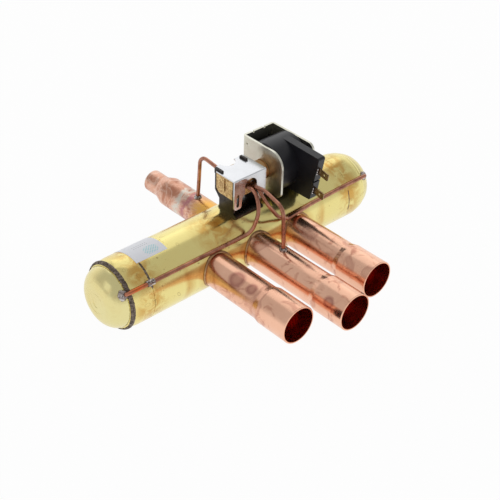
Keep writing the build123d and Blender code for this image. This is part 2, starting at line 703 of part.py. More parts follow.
COIL_LEFT, COIL_RIGHT = FRAME_LEFT + FRAME_SHEET, FRAME_RIGHT - FRAME_SHEET
TAIL_LEFT, TAIL_RIGHT = 49.5, 56.5
TAIL_TOP, TAIL_BOTTOM = (-43.1, 20.5), (-35.7, -20.5)  # end face, from the pilot axis
TAIL_CORNER = 1.8
TAIL_TILT = degrees(atan2(TAIL_BOTTOM[0] - TAIL_TOP[0], TAIL_TOP[1] - TAIL_BOTTOM[1]))
BLADE_X = 52.9
BLADE_HEIGHTS = {"terminal_upper": 7.6, "terminal_lower": -11.8}
BLADE_WIDTH, BLADE_SHEET, BLADE_LENGTH = 6.3, 0.8, 10.4
BLADE_ROOT = 7.0


def on_tail(height):
    """How far forward the tail's end face is at a height over the pilot axis."""
    share = (TAIL_TOP[1] - height) / (TAIL_TOP[1] - TAIL_BOTTOM[1])
    return TAIL_TOP[0] + share * (TAIL_BOTTOM[0] - TAIL_TOP[0])


def tail_plane(x, height):
    """Plane on the tail's end face, facing out, with local x along +X."""
    outward = (0, -cos(radians(TAIL_TILT)), -sin(radians(TAIL_TILT)))
    origin = at(x, PILOT_Y + on_tail(height), PILOT_Z + height)
    return Plane(origin=origin, x_dir=(1, 0, 0), z_dir=outward)


with BuildPart() as coil:
    with BuildSketch(pilot_across(COIL_LEFT)):
        Circle(COIL_RADIUS)
    extrude(amount=COIL_RIGHT - COIL_LEFT)
    fillet(coil.edges().filter_by(GeomType.CIRCLE), 1.2)
    with BuildSketch(pilot_across(TAIL_LEFT)):
        with BuildLine():
            Polyline((0, COIL_RADIUS), TAIL_TOP, TAIL_BOTTOM, (0, -COIL_RADIUS), close=True)
        make_face()
    extrude(amount=TAIL_RIGHT - TAIL_LEFT)
    corners = coil.edges().filter_by(Axis.X).sort_by(Axis.Y)[:2]
    fillet(corners, TAIL_CORNER)
    with BuildSketch(tail_plane((TAIL_LEFT + TAIL_RIGHT) / 2, -2.4)):
        Rectangle(TAIL_RIGHT - TAIL_LEFT + 1, 1.8)
    extrude(amount=-1.5, mode=Mode.SUBTRACT)
    with BuildSketch(pilot_across(COIL_LEFT)):
        Circle(CORE_TUBE_RADIUS + 0.2)
    extrude(amount=COIL_RIGHT - COIL_LEFT, mode=Mode.SUBTRACT)
    for height in BLADE_HEIGHTS.values():
        with BuildSketch(tail_plane(BLADE_X, height)):
            Rectangle(BLADE_SHEET, BLADE_WIDTH)
        extrude(amount=-BLADE_ROOT, mode=Mode.SUBTRACT)
keep(coil, "coil_moulding")

for name, height in BLADE_HEIGHTS.items():
    with BuildPart() as blade:
        with BuildSketch(tail_plane(BLADE_X, height).offset(-BLADE_ROOT)):
            Rectangle(BLADE_SHEET, BLADE_WIDTH)
        extrude(amount=BLADE_ROOT + BLADE_LENGTH)
        tip = blade.faces().sort_by(Axis.Y)[0].edges()
        chamfer(tip.filter_by(Axis.X), 0.5)
        hole = tail_plane(BLADE_X, height).offset(BLADE_LENGTH * 0.58).origin
        with BuildSketch(Plane(origin=hole + Vector(-1, 0, 0), z_dir=(1, 0, 0))):
            Circle(0.9)
        extrude(amount=2, mode=Mode.SUBTRACT)
    keep(blade, name)

WASHER_SHEET = 1.0
WASHER_RADIUS = 7.0

with BuildPart() as washer:
    with BuildSketch(pilot_across(FRAME_RIGHT)):
        Circle(WASHER_RADIUS)
        Circle(SCREW_RADIUS, mode=Mode.SUBTRACT)
    extrude(amount=WASHER_SHEET)
keep(washer, "coil_washer")

with BuildPart() as screw:
    head_from = FRAME_RIGHT + WASHER_SHEET
    with BuildSketch(pilot_across(head_from)):
        RegularPolygon(5.2, 6)
    extrude(amount=3.4)
    with BuildSketch(pilot_across(head_from + 2.0)):
        Rectangle(1.2, 12)
    extrude(amount=2.0, mode=Mode.SUBTRACT)
    with BuildSketch(pilot_across(CORE_END - 7.0)):
        Circle(SCREW_RADIUS)
    extrude(amount=head_from - CORE_END + 7.0)
keep(screw, "coil_screw")


# ---- Pistons and main slide ---------------------------------------------------------------------
TRAIN_HALF = 80.6  # slide centre to the outer face of a carrier tab
CARRIER_SHEET = 2.0
CARRIER_FROM, CARRIER_TO = -9.5, -7.5  # the carrier plate's two faces
CARRIER_HALF_WIDTH = 19.0
BLOCK_LENGTH, BLOCK_WIDTH = 72.0, 29.4
FLANGE_LENGTH, FLANGE_WIDTH = 76.0, 34.0
FLANGE_TO = -10.5
SLIDE_GAP = 0.05
DOME_TO = 1.0
CAVITY_LENGTH, CAVITY_WIDTH = 65.6, 23.0
CAVITY_TO = -2.5
PISTON_SCREWS = ((0.0, 9.0), (0.0, -9.0), (9.0, 0.0))

with BuildPart() as slide_block:
    with BuildSketch(facing_front(SLIDE_REST, -SEAT_FACE + SLIDE_GAP)):
        SlotOverall(BLOCK_LENGTH, BLOCK_WIDTH)
    extrude(amount=-(DOME_TO + SEAT_FACE - SLIDE_GAP))
    fillet(slide_block.faces().sort_by(Axis.Y)[-1].edges(), 5.0)
    with BuildSketch(facing_front(SLIDE_REST, -SEAT_FACE + SLIDE_GAP)):
        SlotOverall(FLANGE_LENGTH, FLANGE_WIDTH)
    extrude(amount=-(FLANGE_TO + SEAT_FACE - SLIDE_GAP))
    with BuildSketch(facing_front(SLIDE_REST, -SEAT_FACE)):
        SlotOverall(CAVITY_LENGTH, CAVITY_WIDTH)
    extrude(amount=-(CAVITY_TO + SEAT_FACE), mode=Mode.SUBTRACT)
keep(slide_block, "slide_block")

LEAF_SHEET = 0.25
LEAF_WIDTH = 1.5
LEAF_HALF_LENGTH = 20.0

with BuildPart() as leaf_springs:
    for leaf_z in (-(BLOCK_WIDTH + FLANGE_WIDTH) / 4, (BLOCK_WIDTH + FLANGE_WIDTH) / 4):
        with BuildSketch(lying(SLIDE_REST, 0, leaf_z - LEAF_WIDTH / 2)):
            with BuildLine():
                low, high = FLANGE_TO, CARRIER_FROM
                under = ThreePointArc(
                    (-LEAF_HALF_LENGTH, low), (0, high - LEAF_SHEET), (LEAF_HALF_LENGTH, low)
                )
                over = ThreePointArc(
                    (-LEAF_HALF_LENGTH, low + LEAF_SHEET), (0, high), (LEAF_HALF_LENGTH, low + LEAF_SHEET)
                )
                Line(under @ 0, over @ 0)
                Line(under @ 1, over @ 1)
            make_face()
        extrude(amount=LEAF_WIDTH)
keep(leaf_springs, "slide_spring")

with BuildPart() as carrier:
    with BuildSketch(facing_front(SLIDE_REST, CARRIER_TO)):
        Rectangle(2 * TRAIN_HALF, 2 * CARRIER_HALF_WIDTH)
        SlotOverall(BLOCK_LENGTH + 1.0, BLOCK_WIDTH + 1.0, mode=Mode.SUBTRACT)
        with Locations((-57.0, 0), (57.0, 0)):
            Circle(11.0, mode=Mode.SUBTRACT)
    extrude(amount=CARRIER_SHEET)
    for sign in (-1, 1):
        tab_x = SLIDE_REST + sign * (TRAIN_HALF - CARRIER_SHEET / 2) - CARRIER_SHEET / 2
        with BuildSketch(across(tab_x)):
            with Locations(((CARRIER_FROM + 12.0) / 2, 0)):
                Rectangle(12.0 - CARRIER_FROM, 28.0)
        extrude(amount=CARRIER_SHEET)
        with BuildSketch(across(tab_x)):
            with Locations(*PISTON_SCREWS):
                Circle(1.6)
        extrude(amount=CARRIER_SHEET, mode=Mode.SUBTRACT)
keep(carrier, "slide_carrier")

DISC_THICKNESS, HUB_TO, SEAL_TO, RETAINER_TO = 3.0, 7.4, 7.4, 9.9
HUB_RADIUS = 14.0
DISC_RADIUS, SEAL_RADIUS, RETAINER_RADIUS = 25.6, 26.1, 25.0
SCREW_SHANK, SCREW_HEAD, HEAD_HEIGHT = 1.5, 2.7, 2.0

with BuildPart() as piston_screws:
    for side, sign in SIDES:
        inner = SLIDE_REST + sign * TRAIN_HALF
        for y, z in PISTON_SCREWS:
            axis = Plane(origin=at(inner, y, z), x_dir=(0, 1, 0), z_dir=(sign, 0, 0))
            with BuildSketch(axis.offset(-CARRIER_SHEET - 0.8)):
                Circle(SCREW_SHANK)
            extrude(amount=RETAINER_TO + CARRIER_SHEET + 1.0)
            with BuildSketch(axis.offset(RETAINER_TO)):
                Circle(SCREW_HEAD)
            extrude(amount=HEAD_HEIGHT)
            with BuildSketch(axis.offset(RETAINER_TO + HEAD_HEIGHT)):
                Rectangle(0.7, 6)
            extrude(amount=-0.8, mode=Mode.SUBTRACT)
            with BuildSketch(axis.offset(-CARRIER_SHEET - 2.4)):
                RegularPolygon(2.9, 6)
            extrude(amount=2.4)

for side, sign in SIDES:
    inner = SLIDE_REST + sign * TRAIN_HALF
    outward_section = Plane(origin=at(inner, 0, 0), x_dir=(sign, 0, 0), z_dir=(0, 0, sign))
    profiles = {
        "piston": [
            (0, 0), (0, DISC_RADIUS), (DISC_THICKNESS, DISC_RADIUS), (DISC_THICKNESS, HUB_RADIUS),
            (HUB_TO, HUB_RADIUS), (HUB_TO, 0),
        ],
        "piston_seal": [
            (DISC_THICKNESS, HUB_RADIUS), (DISC_THICKNESS, SEAL_RADIUS - 0.6),
            (DISC_THICKNESS + 0.6, SEAL_RADIUS), (SEAL_TO, SEAL_RADIUS), (SEAL_TO, HUB_RADIUS),
        ],
        "piston_retainer": [
            (HUB_TO, 0), (HUB_TO, RETAINER_RADIUS), (RETAINER_TO - 0.8, RETAINER_RADIUS),
            (RETAINER_TO, RETAINER_RADIUS - 0.8), (RETAINER_TO, 0),
        ],
    }
    for name, profile in profiles.items():
        with BuildPart() as disc:
            with BuildSketch(outward_section):
                with BuildLine():
                    Polyline(*profile, close=True)
                make_face()
            revolve(axis=BODY_AXIS)
            if name != "piston_seal":
                screw_plane = Plane(origin=at(inner, 0, 0), x_dir=(0, 1, 0), z_dir=(sign, 0, 0))
                with BuildSketch(screw_plane):
                    with Locations(*[(y, z * sign) for y, z in PISTON_SCREWS]):
                        Circle(1.6)
                extrude(amount=RETAINER_TO, mode=Mode.SUBTRACT)
        keep(disc, f"{name}_{side}")
keep(piston_screws, "piston_screws")


# ---- Label --------------------------------------------------------------------------------------
LABEL_LEFT, LABEL_RIGHT = -107.4, -78.0
LABEL_FROM, LABEL_TO = 109.0, 45.0  # degrees from +Y, over the top
LABEL_SHEET = 0.15

with BuildPart() as label:
    with BuildSketch(across(LABEL_LEFT)):
        Circle(BODY_RADIUS + LABEL_SHEET)
        Circle(BODY_RADIUS, mode=Mode.SUBTRACT)
        with BuildLine():
            far = 2 * BODY_RADIUS
            Polyline(
                (0, 0),
                (far * cos(radians(LABEL_FROM)), far * sin(radians(LABEL_FROM))),
                (0, far),
                (far * cos(radians(LABEL_TO)), far * sin(radians(LABEL_TO))),
                close=True,
            )
        make_face(mode=Mode.INTERSECT)
    extrude(amount=LABEL_RIGHT - LABEL_LEFT)
keep(label, "label")


# ---- Export -------------------------------------------------------------------------------------
os.makedirs("parts", exist_ok=True)
for name, piece in made.items():
    export_step(piece, f"parts/{name}.step")
    print(name, len(piece.solids()), round(piece.volume, 1))
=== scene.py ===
"""Looks for the four way reversing valve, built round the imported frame.

Places given to at(), and the sizes of the rings and pips, are in millimetres from the middle of the
body's axis. Everything that a shader measures is in metres, in the row frame.
"""

import json
import math

import bmesh
import bpy
from mathutils import Matrix, Vector, noise


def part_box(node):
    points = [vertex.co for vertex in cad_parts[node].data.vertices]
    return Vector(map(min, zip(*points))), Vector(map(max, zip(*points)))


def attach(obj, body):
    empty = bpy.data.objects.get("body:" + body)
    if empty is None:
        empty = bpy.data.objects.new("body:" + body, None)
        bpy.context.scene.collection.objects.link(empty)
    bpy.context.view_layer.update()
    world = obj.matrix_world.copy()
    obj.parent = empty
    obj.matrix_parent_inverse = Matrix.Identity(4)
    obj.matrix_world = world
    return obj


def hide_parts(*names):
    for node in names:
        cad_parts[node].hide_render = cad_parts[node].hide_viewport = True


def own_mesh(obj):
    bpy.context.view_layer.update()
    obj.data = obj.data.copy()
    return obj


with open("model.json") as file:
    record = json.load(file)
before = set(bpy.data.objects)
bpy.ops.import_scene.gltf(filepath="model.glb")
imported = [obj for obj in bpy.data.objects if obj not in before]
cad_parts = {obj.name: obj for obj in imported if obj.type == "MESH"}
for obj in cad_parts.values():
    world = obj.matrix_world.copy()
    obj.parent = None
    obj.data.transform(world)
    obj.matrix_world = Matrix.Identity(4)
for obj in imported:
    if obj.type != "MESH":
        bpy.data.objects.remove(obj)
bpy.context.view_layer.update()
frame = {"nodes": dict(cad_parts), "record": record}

MM = 0.001
body_low, body_high = (Vector(corner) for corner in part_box("body_tube"))
AXIS = (body_low + body_high) / 2  # the middle of the body's axis
BODY_RADIUS = (body_high.z - body_low.z) / 2
TUBE_END = body_high.x
PITCH = (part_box("condenser_tube")[1][0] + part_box("condenser_tube")[0][0]) / 2

# Marks, each a place and a reach in millimetres: flame stains on the copper, then golden-brown marks on the
# brass.
FLAME_MARKS = (((-50.2, -57.6, 12.1), 9.0), ((-50.0, -74.1, 12.2), 6.0), ((-13.7, -118.5, 7.5), 6.0))
# The first brass mark, by the pilot bracket's foot, is painted shade; the others are golden-brown patches by
# the ends' seams.
SHADE_AND_GOLD_MARKS = (
    ((-31.7, -10.9, 26.0), 26.0), ((-112.0, -17.0, 22.0), 12.0), ((-110.5, -28.1, -2.4), 14.0),
    ((103.0, -4.7, 27.8), 14.0), ((106.0, -24.0, 12.0), 14.0),
)
BRASS = (0.83, 0.73, 0.30)
GOLDEN_BRASS = (0.82, 0.62, 0.22)
HEAT_BROWN = (0.62, 0.36, 0.10)
COPPER = (0.91, 0.54, 0.38)


def at(x, y, z):
    """A point in millimetres from the middle of the body's axis."""
    return AXIS + Vector((x, y, z)) * MM


# ---- Camera, lamps and surroundings -------------------------------------------------------------
CAMERA_AT = (-504.3, -548.48, 519.0)
CAMERA_AZIMUTH, CAMERA_ELEVATION, CAMERA_ROLL = -43.55, 35.65, 1.9
SENSOR, LENS = 36.0, 80.15


def camera():
    """The photograph's own viewpoint."""
    az, el, roll = (math.radians(a) for a in (CAMERA_AZIMUTH, CAMERA_ELEVATION, CAMERA_ROLL))
    back = Vector((math.sin(az) * math.cos(el), -math.cos(az) * math.cos(el), math.sin(el)))
    right = (-back).cross(Vector((0, 0, 1))).normalized()
    up = right.cross(-back)
    tilted_right = math.cos(roll) * right + math.sin(roll) * up
    tilted_up = math.cos(roll) * up - math.sin(roll) * right
    turn = Matrix((tilted_right, tilted_up, back)).transposed().to_4x4()
    data = bpy.data.cameras.new("camera")
    data.sensor_width, data.lens = SENSOR, LENS
    data.clip_end = 100
    shot = bpy.data.objects.new("camera", data)
    shot.matrix_world = Matrix.Translation(at(*CAMERA_AT)) @ turn
    bpy.context.collection.objects.link(shot)
    bpy.context.scene.camera = shot


def area_lamp(name, where, size, power):
    """A soft rectangular lamp that looks at the middle of the valve."""
    data = bpy.data.lights.new(name, "AREA")
    data.shape, data.size, data.size_y = "RECTANGLE", size[0], size[1]
    data.energy = power
    lamp = bpy.data.objects.new(name, data)
    lamp.location = where
    lamp.rotation_euler = (Vector(where) - AXIS).to_track_quat("Z", "Y").to_euler()
    bpy.context.collection.objects.link(lamp)


class Graph:
    """Short ways to add and join shader nodes."""

    def __init__(self, tree):
        self.tree = tree

    def add(self, kind, inputs=None, **settings):
        made = self.tree.nodes.new(kind)
        for key, value in settings.items():
            setattr(made, key, value)
        for key, value in (inputs or {}).items():
            if isinstance(value, bpy.types.NodeSocket):
                self.tree.links.new(value, made.inputs[key])
            else:
                made.inputs[key].default_value = value
        return made

    def math(self, operation, a, b=0.0, clamp=False):
        return self.add("ShaderNodeMath", {0: a, 1: b}, operation=operation, use_clamp=clamp).outputs[0]

    def coords(self):
        """The point's place in the row frame."""
        return self.add("ShaderNodeTexCoord").outputs["Object"]

    def place(self):
        """The point's x, y and z in the row frame."""
        parts = self.add("ShaderNodeSeparateXYZ", {0: self.coords()}).outputs
        return parts[0], parts[1], parts[2]

    def noise(self, scale, detail=3.0, roughness=0.5, distortion=0.0, stretch=None):
        """Fractal noise. scale is per metre and stretch scales the axes."""
        vector = self.coords()
        if stretch:
            vector = self.add("ShaderNodeMapping", {"Vector": vector, "Scale": stretch}).outputs[0]
        settings = {
            "Vector": vector, "Scale": scale, "Detail": detail, "Roughness": roughness,
            "Distortion": distortion,
        }
        return self.add("ShaderNodeTexNoise", settings).outputs[0]

    def ramp(self, fac, *stops):
        """Colour or grey ramp from (position, value) stops."""
        made = self.add("ShaderNodeValToRGB", {0: fac})
        points = made.color_ramp.elements
        while len(points) < len(stops):
            points.new(0.5)
        for point, (position, value) in zip(points, stops):
            point.position = position
            grey = isinstance(value, (int, float))
            point.color = (value, value, value, 1) if grey else (*value, 1)
        return made.outputs[0]

    def mix(self, fac, a, b):
        """From a, where fac is 0, to b, where it is 1."""
        made = self.add("ShaderNodeMix", data_type="RGBA")
        for socket, value in ((made.inputs[0], fac), (made.inputs[6], a), (made.inputs[7], b)):
            if isinstance(value, bpy.types.NodeSocket):
                self.tree.links.new(value, socket)
            else:
                socket.default_value = value if isinstance(value, float) else (*value, 1)
        return made.outputs[2]

    def near(self, value, centre, reach):
        """1 where value is at centre, falling to 0 at reach from it."""
        gap = self.math("ABSOLUTE", self.math("SUBTRACT", value, centre))
        return self.math("SUBTRACT", 1.0, self.math("DIVIDE", gap, reach), clamp=True)

    def over(self, value, edge, softness):
        """0 below edge, rising to 1 at edge plus softness."""
        return self.math("DIVIDE", self.math("SUBTRACT", value, edge), softness, clamp=True)

    def spot(self, centre, reach):
        """1 at a point, given in millimetres from the body's axis, falling to 0 at reach from it."""
        gap = self.add("ShaderNodeVectorMath", {0: self.coords(), 1: at(*centre)}, operation="DISTANCE")
        return self.math("SUBTRACT", 1.0, self.math("DIVIDE", gap.outputs["Value"], reach * MM), clamp=True)

    def radius(self, a, b):
        """Distance from the line where a and b are both 0."""
        return self.math("SQRT", self.math("ADD", self.math("MULTIPLY", a, a), self.math("MULTIPLY", b, b)))

    def across_tube(self, x):
        """x from the nearest line tube's axis."""
        wrapped = self.add("ShaderNodeMath", {0: x, 1: -PITCH / 2, 2: PITCH / 2}, operation="WRAP")
        return wrapped.outputs[0]

    def bump(self, height, distance, strength=1.0):
        inputs = {"Height": height, "Distance": distance, "Strength": strength}
        return self.add("ShaderNodeBump", inputs).outputs[0]


def new_material(name, metallic=1.0):
    """A material, its graph and its principled shader."""
    made = bpy.data.materials.new(name)
    made.use_nodes = True
    graph = Graph(made.node_tree)
    shader = made.node_tree.nodes["Principled BSDF"]
    shader.inputs["Metallic"].default_value = metallic
    return made, graph, shader


def connect(graph, shader, **sockets):
    """Joins values or sockets to the shader by name."""
    names = {"colour": "Base Color", "roughness": "Roughness", "normal": "Normal"}
    for key, value in sockets.items():
        socket = shader.inputs[names[key]]
        if isinstance(value, bpy.types.NodeSocket):
            graph.tree.links.new(value, socket)
        else:
            socket.default_value = value


def surroundings():
    """Pale floor, white background and a soft studio light from above and behind."""
    world = bpy.data.worlds.new("studio")
    bpy.context.scene.world = world
    world.use_nodes = True
    graph = Graph(world.node_tree)
    background = world.node_tree.nodes["Background"]
    direction = graph.add("ShaderNodeTexCoord").outputs["Generated"]
    east, north, up = graph.add("ShaderNodeSeparateXYZ", {0: direction}).outputs
    # A bright low backdrop behind and to the right; dimmer walls, palest where they meet the floor.
    behind = graph.math("ADD", graph.math("MULTIPLY", east, 0.55), graph.math("MULTIPLY", north, 0.83))
    low = graph.math("SUBTRACT", 1.0, graph.over(up, 0.42, 0.4))
    backdrop = graph.math("MULTIPLY", graph.over(behind, 0.25, 0.7), low)
    walls = graph.ramp(up, (0.0, 0.88), (0.30, 0.58))
    studio = graph.mix(backdrop, walls, (1.12, 1.12, 1.12))
    seen = graph.add("ShaderNodeLightPath").outputs["Is Camera Ray"]
    colour = graph.mix(seen, studio, (1.0, 1.0, 1.0))
    graph.tree.links.new(colour, background.inputs["Color"])
    background.inputs["Strength"].default_value = 1.0
    bpy.context.scene.view_settings.view_transform = "Standard"

    area_lamp("top_softbox", (0.55, 0.75, 1.1), (1.1, 1.1), 1.6)
    area_lamp("left_fill", (-1.3, 0.1, 0.8), (0.7, 0.9), 0.7)

    mesh = bpy.data.meshes.new("floor")
    form = bmesh.new()
    bmesh.ops.create_circle(form, cap_ends=True, segments=96, radius=12)
    form.to_mesh(mesh)
    form.free()
    floor = bpy.data.objects.new("floor", mesh)
    bpy.context.collection.objects.link(floor)
    made = bpy.data.materials.new("floor")
    made.use_nodes = True
    graph = Graph(made.node_tree)
    made.node_tree.nodes.remove(made.node_tree.nodes["Principled BSDF"])
    matte = graph.add("ShaderNodeBsdfDiffuse", {"Color": (0.86, 0.86, 0.86, 1)}).outputs[0]
    glow = graph.add("ShaderNodeEmission", {"Color": (1, 1, 1, 1), "Strength": 1.0}).outputs[0]
    path = graph.add("ShaderNodeLightPath").outputs
    direct = graph.math("MAXIMUM", path["Is Camera Ray"], path["Is Glossy Ray"])
    direct = graph.math("MAXIMUM", direct, path["Is Transmission Ray"])
    share = graph.math("MULTIPLY", direct, 0.96)
    surface = graph.add("ShaderNodeMixShader", {0: share, 1: matte, 2: glow}).outputs[0]
    graph.tree.links.new(surface, made.node_tree.nodes["Material Output"].inputs["Surface"])
    mesh.materials.append(made)


# ---- Materials ----------------------------------------------------------------------------------
def body_brass():
    """Polished brass tube with heat tints by the joints, golden-brown patches by the ends, and painted shade
    by the pilot bracket's foot.
    """
    made, g, shader = new_material("body_brass")
    x, y, z = g.place()
    tone = g.noise(22, 4, 0.55)
    colour = g.mix(g.ramp(tone, (0.4, 0.0), (0.75, 0.5)), BRASS, GOLDEN_BRASS)
    blotch = g.noise(120, 5, 0.6, 0.6)
    along = g.math("ABSOLUTE", x)
    seam = g.near(g.math("ADD", along, g.math("MULTIPLY", blotch, 0.008)), TUBE_END + 0.006, 0.016)
    seam = g.math("MULTIPLY", seam, g.ramp(blotch, (0.40, 0.0), (0.56, 1.0)))
    colour = g.mix(seam, colour, (0.60, 0.36, 0.10))
    from_tube = g.radius(g.across_tube(x), g.math("SUBTRACT", z, AXIS.z))
    front = g.over(g.math("SUBTRACT", AXIS.y, y), 0.008, 0.01)
    in_row = g.over(g.math("SUBTRACT", 1.8 * PITCH, along), 0.0, 0.004)
    tint = g.near(g.math("ADD", from_tube, g.math("MULTIPLY", blotch, 0.004)), 0.0145, 0.009)
    tint = g.math("MULTIPLY", g.math("MULTIPLY", tint, front), in_row)
    colour = g.mix(g.math("MULTIPLY", tint, 0.75), colour, HEAT_BROWN)
    specks = g.ramp(g.noise(900, 2, 0.5), (0.70, 0.0), (0.76, 0.5))
    colour = g.mix(specks, colour, (0.30, 0.20, 0.08))
    patchy = g.ramp(blotch, (0.36, 0.2), (0.60, 1.0))
    # Golden-brown marks: painted shade at the pilot bracket's foot, patches by the ends' seams.
    for place, reach in SHADE_AND_GOLD_MARKS:
        shade_and_gold = g.math("MULTIPLY", g.math("MULTIPLY", g.spot(place, reach), 1.6), patchy, clamp=True)
        colour = g.mix(shade_and_gold, colour, (0.64, 0.38, 0.10))
    curls = g.ramp(g.noise(150, 1, 0.4), (0.685, 0.0), (0.70, 0.8), (0.715, 0.0))
    colour = g.mix(curls, colour, (0.34, 0.22, 0.08))
    smear = g.noise(60, 4, 0.6, 0.4, (0.35, 1, 1))
    roughness = g.ramp(smear, (0.3, 0.13), (0.7, 0.25))
    scratch = g.noise(700, 3, 0.6, 0.0, (0.06, 1, 1))
    connect(g, shader, colour=colour, roughness=roughness, normal=g.bump(scratch, 0.00002, 0.5))
    return made


def cap_brass():
    """Satin brass cap with faint turning rings."""
    made, g, shader = new_material("cap_brass")
    _, y, z = g.place()
    off_axis = g.radius(g.math("SUBTRACT", y, AXIS.y), g.math("SUBTRACT", z, AXIS.z))
    rings = g.math("SINE", g.math("MULTIPLY", off_axis, 2600.0))
    tone = g.noise(35, 4, 0.55)
    colour = g.mix(g.ramp(tone, (0.4, 0.0), (0.7, 0.6)), (0.78, 0.70, 0.34), (0.80, 0.64, 0.28))
    smudge = g.noise(90, 3, 0.6, 1.0)
    colour = g.mix(g.ramp(smudge, (0.58, 0.0), (0.75, 0.35)), colour, (0.66, 0.50, 0.22))
    roughness = g.ramp(g.noise(70, 4, 0.6), (0.3, 0.18), (0.7, 0.30))
    connect(g, shader, colour=colour, roughness=roughness, normal=g.bump(rings, 0.000012, 0.6))
    return made


EDGE = 0.0001
SOCKET_FROM = 0.0875  # where an outer tube's socket starts, from the body's axis
SUCTION_LONGER = 0.0166  # how much further out the middle tube's socket starts
SOCKET_WALL, TUBE_WALL = 0.0146, 0.0138  # a radius within each tube's wall


def copper(name, base, marks, bore_reflection_red=None):
    """Bright drawn copper with smudges and fine draw lines along Y; the bores are painted dark red for the
    light reflected round within them.
    """
    made, g, shader = new_material(name)
    x, y, z = g.place()
    tone = g.noise(28, 4, 0.6, 0.3)
    colour = g.mix(g.ramp(tone, (0.36, 0.0), (0.66, 0.8)), base, marks[0])
    smudge = g.noise(75, 4, 0.6, 1.2)
    colour = g.mix(g.ramp(smudge, (0.56, 0.0), (0.68, 0.7)), colour, marks[1])
    ring_stain = g.ramp(g.noise(48, 2, 0.4, 0.3), (0.60, 0.0), (0.64, 0.55), (0.70, 0.25))
    colour = g.mix(ring_stain, colour, (0.52, 0.24, 0.17))
    for place, reach in FLAME_MARKS:
        wander = g.math("MULTIPLY", g.math("SUBTRACT", smudge, 0.5), 0.5)
        uneven = g.math("ADD", g.spot(place, reach), wander)
        mark = g.ramp(uneven, (0.05, 0.0), (0.40, 0.85), (0.75, 0.55))
        colour = g.mix(mark, colour, (0.42, 0.17, 0.13))
    specks = g.ramp(g.noise(1100, 2), (0.72, 0.0), (0.77, 0.5))
    colour = g.mix(specks, colour, (0.25, 0.10, 0.06))
    heat = g.over(g.math("ADD", y, g.math("MULTIPLY", tone, 0.02)), AXIS.y - 0.034, 0.02)
    colour = g.mix(g.math("MULTIPLY", heat, 0.5), colour, (0.62, 0.30, 0.16))
    # Painted reflection: the bore and socket walls take a deep red that stands in for light bounced round
    # within the copper.
    if bore_reflection_red:
        off_axis = g.radius(g.across_tube(x), g.math("SUBTRACT", z, AXIS.z))
        in_middle = g.over(g.math("SUBTRACT", PITCH / 2, g.math("ABSOLUTE", x)), 0.0, EDGE)
        longer = g.math("MULTIPLY", in_middle, SUCTION_LONGER)
        depth = g.math("SUBTRACT", g.math("SUBTRACT", AXIS.y - SOCKET_FROM, y), longer)
        in_socket = g.over(g.math("SUBTRACT", SOCKET_WALL, off_axis), 0.0, EDGE)
        socket = g.math("MULTIPLY", g.over(depth, 0.0, EDGE), in_socket)
        bore_reflection_mask = g.math("MAXIMUM", socket, g.over(g.math("SUBTRACT", TUBE_WALL, off_axis), 0.0, EDGE))
        colour = g.mix(bore_reflection_mask, colour, bore_reflection_red)
    roughness = g.ramp(g.noise(50, 4, 0.6), (0.3, 0.17), (0.7, 0.30))
    lines = g.noise(900, 2, 0.5, 0.0, (1, 0.03, 1))
    connect(g, shader, colour=colour, roughness=roughness, normal=g.bump(lines, 0.00002, 0.4))
    return made


def discharge_copper():
    """Copper tube mottled by heat, with a pale band, a golden tint by the body, and a bore painted dark red
    for the light reflected round within it.
    """
    made, g, shader = new_material("discharge_copper")
    x, y, z = g.place()
    far = g.math("SUBTRACT", y, AXIS.y)
    tone = g.noise(60, 5, 0.65, 1.0)
    wavy = g.math("ADD", far, g.math("MULTIPLY", g.math("SUBTRACT", tone, 0.5), 0.03))
    colour = g.mix(g.ramp(tone, (0.42, 0.0), (0.6, 1.0)), (0.74, 0.42, 0.30), (0.50, 0.22, 0.14))
    rings = g.ramp(g.noise(38, 3, 0.6, 2.0), (0.46, 0.0), (0.50, 0.6), (0.54, 0.0))
    colour = g.mix(rings, colour, (0.84, 0.60, 0.48))
    colour = g.mix(g.near(wavy, 0.060, 0.005), colour, (0.70, 0.66, 0.58))
    colour = g.mix(g.near(wavy, 0.052, 0.004), colour, (0.48, 0.20, 0.22))
    gold = g.math("SUBTRACT", 1.0, g.over(wavy, 0.034, 0.012))
    colour = g.mix(gold, colour, (0.84, 0.46, 0.11))
    # Painted reflection: the bore takes a dark red that stands in for light bounced round within the copper.
    off_axis = g.radius(x, g.math("SUBTRACT", z, AXIS.z))
    neck = g.over(far, 0.0842, 0.0088)
    in_wall = g.math("SUBTRACT", 0.0121, g.math("MULTIPLY", neck, 0.0033))
    bore_reflection_mask = g.over(g.math("SUBTRACT", in_wall, off_axis), 0.0, EDGE)
    colour = g.mix(bore_reflection_mask, colour, (0.55, 0.12, 0.05))
    roughness = g.ramp(tone, (0.3, 0.24), (0.7, 0.40))
    connect(g, shader, colour=colour, roughness=roughness, normal=g.bump(tone, 0.0002, 0.35))
    return made


def capillary_copper():
    """Thin copper tube dulled to brown, redder by the left cap, where it was brazed."""
    made, g, shader = new_material("capillary_copper")
    x, _, _ = g.place()
    tone = g.noise(90, 4, 0.6, 0.8)
    colour = g.mix(g.ramp(tone, (0.38, 0.0), (0.66, 1.0)), (0.50, 0.23, 0.15), (0.25, 0.10, 0.07))
    hot = g.near(x, -(TUBE_END + 0.0137), 0.012)
    colour = g.mix(hot, colour, (0.62, 0.15, 0.04))
    roughness = g.ramp(tone, (0.3, 0.20), (0.7, 0.36))
    connect(g, shader, colour=colour, roughness=roughness, normal=g.bump(g.noise(1500, 2), 0.00002, 0.5))
    return made


